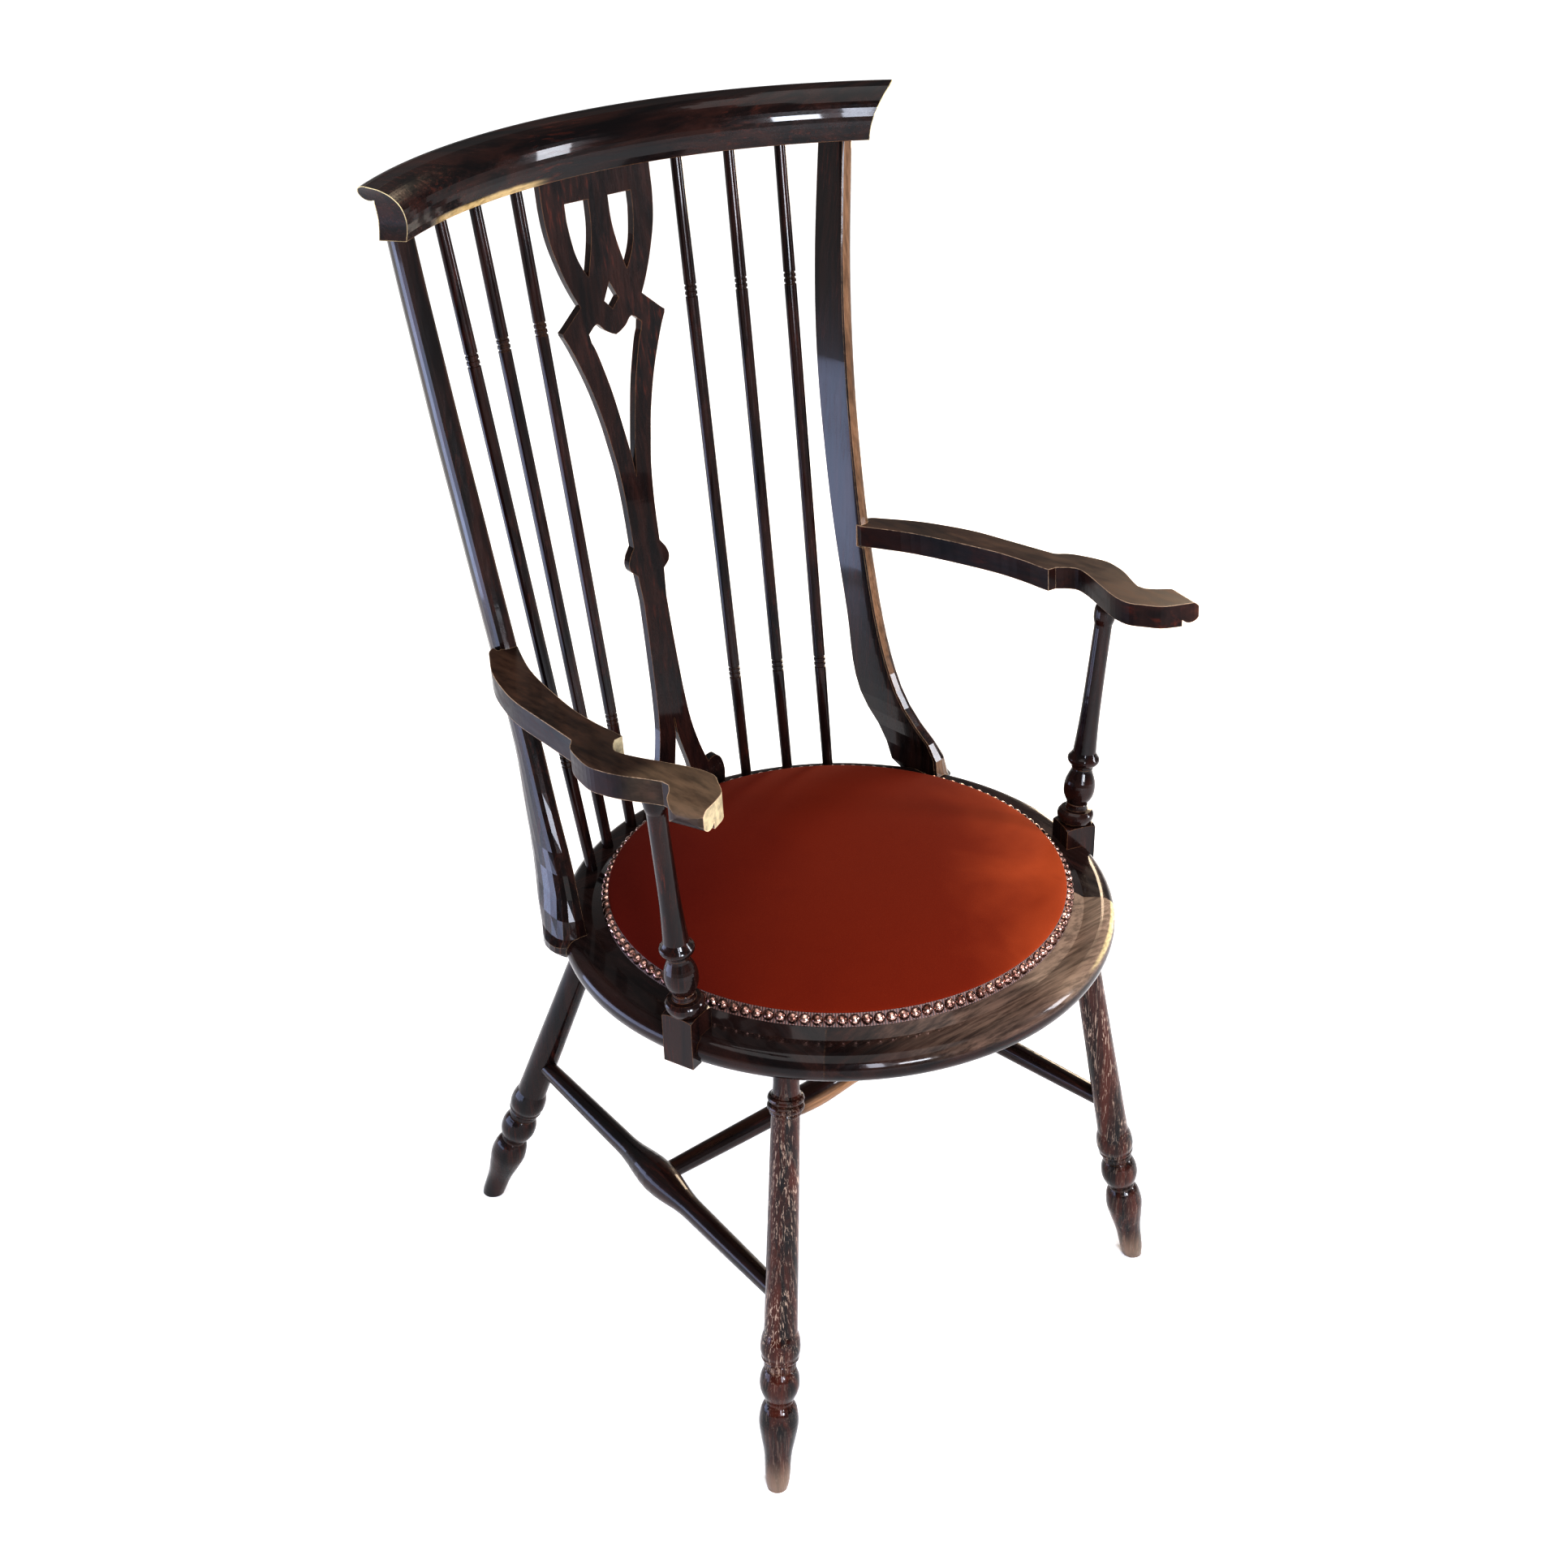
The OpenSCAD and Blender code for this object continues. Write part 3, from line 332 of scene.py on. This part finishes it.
# Heights in metres between which the front legs' wear comes or goes, from the floor up
leg = {"grain": "Z", "edge": 0.3, "edgeWidth": 0.0012, "red": 0.3, "bump": 0.1,
       "footBare": (0.006, 0.04), "flakesFrom": (0.11, 0.15), "flakesTo": (0.26, 0.38),
       "thinOver": (0.1, 0.42)}
dress(["leg_front_left", "leg_front_right"], ebonised("frontLegPolish", {
    **leg, "flake": 1.0, "chip": "#a28c7c", "foot": 0.6}))
dress(["leg_back_left", "leg_back_right"], ebonised("backLegPolish", leg))

stretcher = {"edge": 0.0, "red": 0.4, "dull": 0.06, "bump": 0.1}
dress(["stretcher_left", "stretcher_right"], ebonised("sideStretcherPolish", {**stretcher, "grain": "Y"}))
dress(["stretcher_middle"], ebonised("middleStretcherPolish", {
    **stretcher, "grain": "X",
    "faces": [((0.0, -0.8, -0.6), 0.2, 0.8, 0.9, "#9a7352", (0.09, 0.0, 0.18), 0.13)]}))
print("wood dressed")


# seat cushion: velvet pulled over stuffing and nailed down round its edge

# Shape, in metres: how far the side stands inside the cover's edge, how far the base lifts off the webbing,
# how high over the node's foot the cover laps over the trim and ends, the lap's rounded lower edge as steps
# out and up, and the room left above for the cloth to swell. Then the cloth, the marks in mm and the colours.
# Tufts of pile are about 0.4 mm apart, drawn at 0.91 mm so that they show.
seat = {"name": "velvet_seat", "nails": 128, "sideIn": 0.0088, "lift": 0.0005, "lapUnder": 0.0075,
        "lapTop": 0.0077, "lapEdge": [(-0.0007, 0.0), (0.0005, -0.0005), (0.0009, -0.0008)], "swell": 0.004,
        "crown": 2.5, "crownSteps": 22, "pressure": 4.0, "frames": 20, "cap": 0.006,
        "stroke": 111.0, "crush": 16.7, "tuft": 0.91,
        "dark": "#4e0b02", "middle": "#5e1803", "light": "#9a4622", "sheen": "#c05a30"}


def cushionRings(low, high):
    # The pad before it is blown up, as radii and heights: its side stands inside the trim, its cover laps
    # over the trim down to the nails, and its top is a low crown
    radius = (high[0] - low[0]) / 2
    inner = radius - seat["sideIn"]
    base = low[2] + seat["lift"]
    under = low[2] + seat["lapUnder"]
    lip = radius + seat["lapEdge"][-1][0]
    lipTop = low[2] + seat["lapTop"]
    rise = high[2] - seat["swell"] - lipTop
    rings = [(0.0, base), (inner * 0.5, base), (inner - 0.01, base), (inner, base), (inner, under)]
    rings += [(radius + out, under + up) for out, up in seat["lapEdge"]]
    rings += [(lip, lipTop)]
    pinned = len(rings)
    for i in range(1, seat["crownSteps"] + 1):
        share = 1 - i / seat["crownSteps"]
        rings += [(lip * share, lipTop + rise * (1 - share ** seat["crown"]))]
    return rings, pinned


def cushionShape(low, high, centre):
    rings, pinned = cushionRings(low, high)
    sides = 2 * seat["nails"]
    shape = bmesh.new()
    loops = []
    for r, z in rings:
        count = sides if r > 1e-5 else 1
        loops.append([shape.verts.new((centre[0] + r * math.cos(2 * math.pi * k / sides),
                                       centre[1] + r * math.sin(2 * math.pi * k / sides), z))
                      for k in range(count)])
    for a, b in zip(loops, loops[1:]):
        for k in range(sides):
            m = (k + 1) % sides
            if len(a) == 1:
                shape.faces.new([a[0], b[m], b[k]])
            elif len(b) == 1:
                shape.faces.new([a[k], a[m], b[0]])
            else:
                shape.faces.new([a[k], a[m], b[m], b[k]])
    shape.verts.index_update()
    # Every second point of the last held ring is under a nail, and so is held too
    held = [v.index for loop in loops[:pinned - 1] for v in loop]
    held += [v.index for v in loops[pinned - 1][::2]]
    mesh = bpy.data.meshes.new(seat["name"])
    shape.to_mesh(mesh)
    shape.free()
    return mesh, held


def applyModifiers(piece):
    graph = bpy.context.evaluated_depsgraph_get()
    mesh = bpy.data.meshes.new_from_object(piece.evaluated_get(graph))
    piece.modifiers.clear()
    piece.data = mesh


def blowUp(piece, held):
    # The stuffing presses the cover out between the nails; a point moves no further than the cap
    piece.vertex_groups.new(name="held").add(held, 1.0, "REPLACE")
    before = [v.co.copy() for v in piece.data.vertices]
    cloth = piece.modifiers.new("cloth", "CLOTH")
    cloth.settings.vertex_group_mass = "held"
    cloth.settings.use_pressure = True
    cloth.settings.uniform_pressure_force = seat["pressure"]
    cloth.settings.effector_weights.gravity = 0
    cloth.point_cache.frame_end = seat["frames"]
    for k in range(1, seat["frames"] + 1):
        bpy.context.scene.frame_set(k)
    applyModifiers(piece)
    bpy.context.scene.frame_set(1)
    furthest = 0.0
    for vertex, start in zip(piece.data.vertices, before):
        moved = vertex.co - start
        furthest = max(furthest, moved.length)
        if moved.length > seat["cap"]:
            moved.length = seat["cap"]
        vertex.co = start + moved
    print("cloth moved the cover by up to", round(1000 * furthest, 2), "mm")


def makeCushion():
    low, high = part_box("seat_cushion")
    centre = [(low[i] + high[i]) / 2 for i in (0, 1)]
    mesh, held = cushionShape(low, high, centre)
    piece = bpy.data.objects.new(seat["name"], mesh)
    bpy.context.scene.collection.objects.link(piece)
    blowUp(piece, held)
    smoother = piece.modifiers.new("finer", "SUBSURF")
    smoother.levels = 1
    smoother.render_levels = 1
    applyModifiers(piece)
    for face in piece.data.polygons:
        face.use_smooth = True
    return piece


def velvet():
    # Rust cotton velvet: the cover runs from deep red at the front left to orange brown at the right edge,
    # partly because the pile lies over to one side and partly as painted shade at the front left and painted
    # sheen at the right; the pale bloom at grazing angles is the shader's sheen
    material, tree, place = newMaterial("rustVelvet")
    slope = add(tree, "VectorMath", {0: place, 1: (0.8, -0.6, 0.0)}, operation="DOT_PRODUCT").outputs["Value"]
    strokes = add(tree, "TexNoise", {"Vector": place, "Scale": perMetre(seat["stroke"]), "Detail": 3.0,
                                     "Roughness": 0.5, "Distortion": 0.4})
    pile = add(tree, "TexNoise", {"Vector": place, "Scale": perMetre(seat["tuft"]), "Detail": 2.0,
                                  "Roughness": 0.7})
    crush = add(tree, "TexNoise", {"Vector": place, "Scale": perMetre(seat["crush"]), "Detail": 5.0,
                                   "Roughness": 0.6})
    napAndLightSlope = add(tree, "Math", {0: strokes, 1: 0.14, 2: slope}, operation="MULTIPLY_ADD")
    # Dark at the front left is partly painted shade, and the orange towards the right edge is partly painted
    # sheen
    colour = paint(tree, seat["dark"], (mask(tree, (napAndLightSlope, -0.08, 0.1)), seat["middle"]),
                   (mask(tree, (napAndLightSlope, 0.18, 0.33)), seat["light"]),
                   (mask(tree, (crush, 0.45, 0.8, 0.0, 0.1)), seat["dark"]),
                   (mask(tree, (pile, 0.5, 0.8, 0.0, 0.1)), seat["light"]))
    height = add(tree, "Math", {0: crush, 1: 0.5, 2: pile}, operation="MULTIPLY_ADD")
    finish(tree, height, 0.3, 0.0005, Base_Color=colour, Roughness=0.9, Sheen_Weight=0.12,
           Sheen_Roughness=0.3, Sheen_Tint=seat["sheen"], Specular_IOR_Level=0.1)
    return material


cushion = makeCushion()
cushion.data.materials.clear()
cushion.data.materials.append(velvet())
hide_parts("seat_cushion")
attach(cushion, "root")
print("cushion made, points:", len(cushion.data.vertices))


# trim, nails, webbing and screws; the sizes of their marks are in mm

trim = {"thread": "#6a483f", "shadedGap": "#241210", "rib": 2.5, "fuzz": 1.43}


def braid():
    # A narrow gimp of dusty pink rayon, ribbed every 2.5 mm round its outer edge, with painted shade in the
    # gaps between the ribs
    low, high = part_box("seat_trim")
    ribs = round(math.pi * (high[0] - low[0]) * perMetre(trim["rib"]))
    centreY = (low[1] + high[1]) / 2
    material, tree, place = newMaterial("gimpBraid")
    where = add(tree, "SeparateXYZ", {0: place})
    y = add(tree, "Math", {0: where.outputs["Y"], 1: centreY}, operation="SUBTRACT")
    turn = add(tree, "Math", {0: y, 1: where.outputs["X"]}, operation="ARCTAN2")
    turn = add(tree, "Math", {0: turn, 1: ribs}, operation="MULTIPLY")
    wave = add(tree, "Math", {0: turn}, operation="SINE")
    fuzz = add(tree, "TexNoise", {"Vector": place, "Scale": perMetre(trim["fuzz"]), "Detail": 3.0,
                                  "Roughness": 0.7})
    lit = add(tree, "Math", {0: fuzz, 1: 1.5, 2: wave}, operation="MULTIPLY_ADD")
    lit = mask(tree, (lit, -0.4, 1.6))
    # The dark between the ribs is painted shade
    finish(tree, lit, 0.5, 0.0005, Base_Color=paint(tree, trim["shadedGap"], (lit, trim["thread"])),
           Roughness=0.5, Sheen_Weight=0.3)
    return material


nail = {"patina": "#54362e", "rubbed": "#c8a296", "stain": 6.25, "pit": 0.91}


def bronze():
    # Bronzed brass domes: brown where the patina stays, rubbed bright in patches;
    # pits about 0.3 mm apart, drawn at 0.91 mm so that they show
    material, tree, place = newMaterial("bronzedNail")
    stain = add(tree, "TexNoise", {"Vector": place, "Scale": perMetre(nail["stain"]), "Detail": 5.0,
                                   "Roughness": 0.65})
    pits = add(tree, "TexNoise", {"Vector": place, "Scale": perMetre(nail["pit"]), "Detail": 3.0,
                                  "Roughness": 0.6})
    colour = paint(tree, nail["patina"], (mask(tree, (stain, 0.38, 0.66)), nail["rubbed"]))
    finish(tree, pits, 0.15, 0.0002, Base_Color=colour, Metallic=1.0,
           Roughness=mask(tree, (stain, 0.3, 0.7, 0.32, 0.16)))
    return material


webbing = {"shade": "#5d4a30", "thread": "#a8895c", "spacing": 3.93}


def jute():
    # Flat woven webbing under the cushion, threads about 1.5 mm apart drawn at 3.93 mm so that they show
    material, tree, place = newMaterial("juteWebbing")
    # Blender's wave turns by 20 radians in each unit of its scale
    threads = 2 * math.pi / 20 * perMetre(webbing["spacing"])
    warp = add(tree, "TexWave", {"Vector": place, "Scale": threads, "Distortion": 1.5}, bands_direction="X")
    weft = add(tree, "TexWave", {"Vector": place, "Scale": threads, "Distortion": 1.5}, bands_direction="Y")
    weave = mask(tree, (warp.outputs["Fac"], 0.0, 1.0, 0.3, 1.0), (weft.outputs["Fac"], 0.0, 1.0, 0.3, 1.0))
    finish(tree, weave, 0.6, 0.0006, Base_Color=paint(tree, webbing["shade"], (weave, webbing["thread"])),
           Roughness=0.95)
    return material


screw = {"dark": "#4a4744", "light": "#8d8a86", "stain": 3.33}


def steel():
    # Dulled screw heads with stains
    material, tree, place = newMaterial("dullSteel")
    stain = add(tree, "TexNoise", {"Vector": place, "Scale": perMetre(screw["stain"]), "Detail": 4.0,
                                   "Roughness": 0.6})
    finish(tree, stain, 0.1, 0.0002, Base_Color=paint(tree, screw["dark"], (stain, screw["light"])),
           Metallic=1.0, Roughness=mask(tree, (stain, 0.3, 0.7, 0.35, 0.6)))
    return material


dress(["seat_trim"], braid())
dress(nodesNamed("nails_"), bronze())
dress(nodesNamed("webbing_"), jute())
dress(nodesNamed("screw_"), steel())
print("trim, nails, webbing and screws dressed")


# floor and lights: places and sizes in metres, power in watts, one blotch of the floor's tone in mm

studio = {"floor": "#ffffff", "blotch": "#eceef0", "blotchSize": 1250.0, "floorHalf": 40.0,
          "sky": "#f6f6f6", "skyStrength": 0.42, "gamma": 0.80, "aim": (0.0, 0.0, 0.7),
          "overhead": {"from": (-0.15, -0.15, 1.0), "strength": 2.4, "angle": 60.0}}
lamps = {
    "window": {"place": (-1.5, -3.0, 1.75), "size": (0.35, 1.7), "power": 80.0, "colour": "#eaf0ff"},
    "front": {"place": (-0.65, -2.9, 1.35), "size": (0.6, 0.5), "power": 75.0, "colour": "#f0f5ff"},
    "right": {"place": (2.2, -1.9, 1.35), "size": (0.5, 0.9), "power": 60.0, "colour": "#f4f7ff"},
    "back": {"place": (2.3, 1.2, 1.2), "size": (0.4, 1.6), "power": 45.0, "colour": "#ffe9cc"},
    "low": {"place": (-1.3, 0.75, 0.25), "size": (1.5, 0.45), "power": 20.0, "colour": "#c3d2fb"}}


def makeFloor():
    half = studio["floorHalf"]
    mesh = bpy.data.meshes.new("studio_floor")
    mesh.from_pydata([(-half, -half, 0), (half, -half, 0), (half, half, 0), (-half, half, 0)], [],
                     [(0, 1, 2, 3)])
    floor = bpy.data.objects.new("studio_floor", mesh)
    bpy.context.scene.collection.objects.link(floor)
    # Matt white board with a hardly seen unevenness
    material, tree, place = newMaterial("paleFloor")
    tone = add(tree, "TexNoise", {"Vector": place, "Scale": perMetre(studio["blotchSize"]), "Detail": 2.0})
    colour = paint(tree, studio["floor"], (mask(tree, (tone, 0.3, 0.7, 0.0, 0.05)), studio["blotch"]))
    finish(tree, tone, 0.0, 0.001, Base_Color=colour, Roughness=0.9, Specular_IOR_Level=0.1)
    mesh.materials.append(material)


def makeLights():
    world = bpy.data.worlds.new("studio")
    bpy.context.scene.world = world
    world.use_nodes = True
    sky = world.node_tree.nodes["Background"].inputs
    sky["Color"].default_value = linear(studio["sky"])
    sky["Strength"].default_value = studio["skyStrength"]

    overhead = bpy.data.lights.new("overhead", "SUN")
    overhead.energy = studio["overhead"]["strength"]
    overhead.angle = math.radians(studio["overhead"]["angle"])
    lamp = bpy.data.objects.new("overhead", overhead)
    lamp.rotation_euler = Vector(studio["overhead"]["from"]).to_track_quat("Z", "Y").to_euler()
    bpy.context.scene.collection.objects.link(lamp)

    for name, look in lamps.items():
        light = bpy.data.lights.new(name, "AREA")
        light.shape = "RECTANGLE"
        light.size, light.size_y = look["size"]
        light.energy = look["power"]
        light.color = linear(look["colour"])[:3]
        lamp = bpy.data.objects.new(name, light)
        lamp.location = look["place"]
        aimed = Vector(look["place"]) - Vector(studio["aim"])
        lamp.rotation_euler = aimed.to_track_quat("Z", "Y").to_euler()
        bpy.context.scene.collection.objects.link(lamp)


makeFloor()
makeLights()
bpy.context.scene.view_settings.view_transform = "Standard"
bpy.context.scene.view_settings.gamma = studio["gamma"]
print("studio lit")
